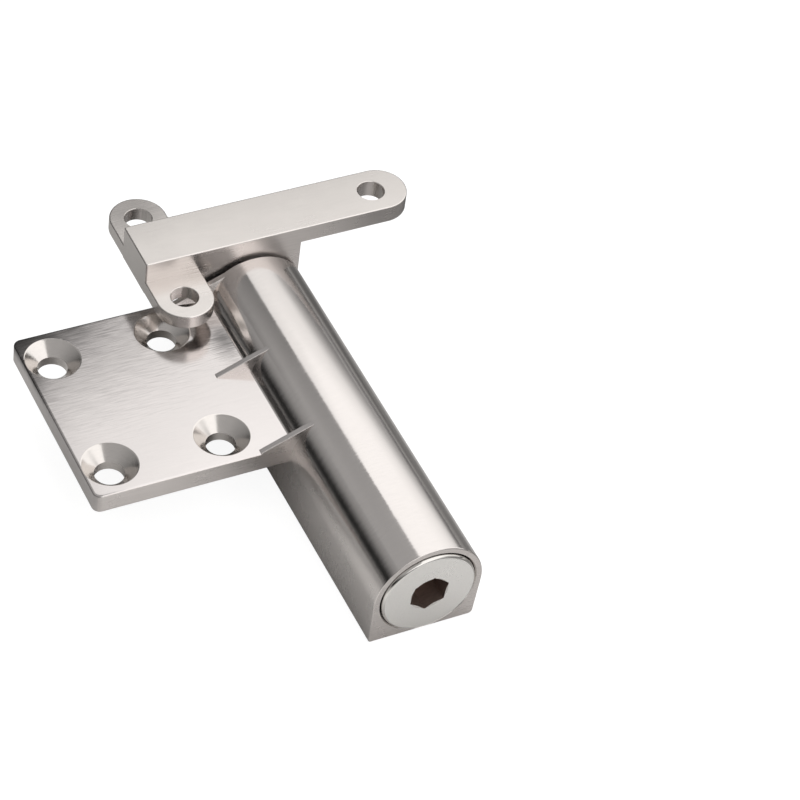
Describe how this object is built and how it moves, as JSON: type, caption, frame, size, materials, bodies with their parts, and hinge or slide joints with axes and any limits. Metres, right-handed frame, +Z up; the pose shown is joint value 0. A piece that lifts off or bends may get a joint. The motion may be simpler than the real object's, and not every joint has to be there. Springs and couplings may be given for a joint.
{
  "type": "concealed door hinge",
  "caption": "Concealed self-closing door hinge: a barrel with a screw-on ribbed leaf, a keyed adjuster plug in one end, and a swinging T-shaped bracket at the other.",
  "frame": {"origin": "on the barrel's flat base, under the pivot axis, half way along the barrel", "axes": "+X across the barrel, away from the leaf; +Y along the pivot, towards the bracket; +Z up, out of the flat base"},
  "size_m": [0.0969, 0.1202, 0.0287],
  "materials": {
    "satin_nickel": "satin brushed, nickel plated casting",
    "ground_steel": "ground, oiled",
    "spring_steel": "drawn and blued wire",
    "bronze": "sintered or turned bronze",
    "nylon": "moulded nylon",
    "rubber_seal": "moulded rubber"
  },
  "bodies": {
    "barrel": {"barrel_leaf": "satin_nickel", "bearing_bush": "bronze", "face_washer": "nylon", "fixed_race": "ground_steel", "guide_plate": "ground_steel", "guide_rods": "ground_steel", "snap_ring": "spring_steel", "return_spring": "spring_steel"},
    "bracket": {"bracket": "satin_nickel", "spindle": "ground_steel", "spindle_dowel": "ground_steel", "turning_race": "ground_steel", "spindle_seal": "rubber_seal"},
    "cage": {"ball_cage": "bronze", "thrust_balls": "ground_steel"},
    "piston": {"piston": "ground_steel", "piston_seal": "rubber_seal", "cross_pin": "ground_steel", "check_ball": "ground_steel", "check_spring": "spring_steel", "valve_retainer": "bronze"},
    "plug": {"adjuster_plug": "satin_nickel", "plug_seal": "rubber_seal"}
  },
  "joints": [
    {"name": "bracket_swing", "type": "hinge", "parent": "barrel", "child": "bracket", "pos_m": [0, 0, 0.0114], "axis": [0, 1, 0], "range_deg": [0, 110], "stiffness_Nm_per_rad": 1, "springref_deg": -28.65},
    {"name": "cage_turn", "type": "hinge", "parent": "barrel", "child": "cage", "pos_m": [0, 0, 0.0114], "axis": [0, 1, 0], "range_deg": [0, 55]},
    {"name": "piston_slide", "type": "slide", "parent": "barrel", "child": "piston", "axis": [0, -1, 0], "range_m": [0, 0.009], "deforming": ["return_spring"]},
    {"name": "plug_turn", "type": "hinge", "parent": "barrel", "child": "plug", "pos_m": [0, 0, 0.0114], "axis": [0, 1, 0], "range_deg": [0, 180]}
  ],
  "couplings": [
    {"joint": "cage_turn", "follows": "bracket_swing", "ratio": 0.5},
    {"joint": "piston_slide", "follows": "bracket_swing", "m_per_rad": 0.0046878}
  ]
}
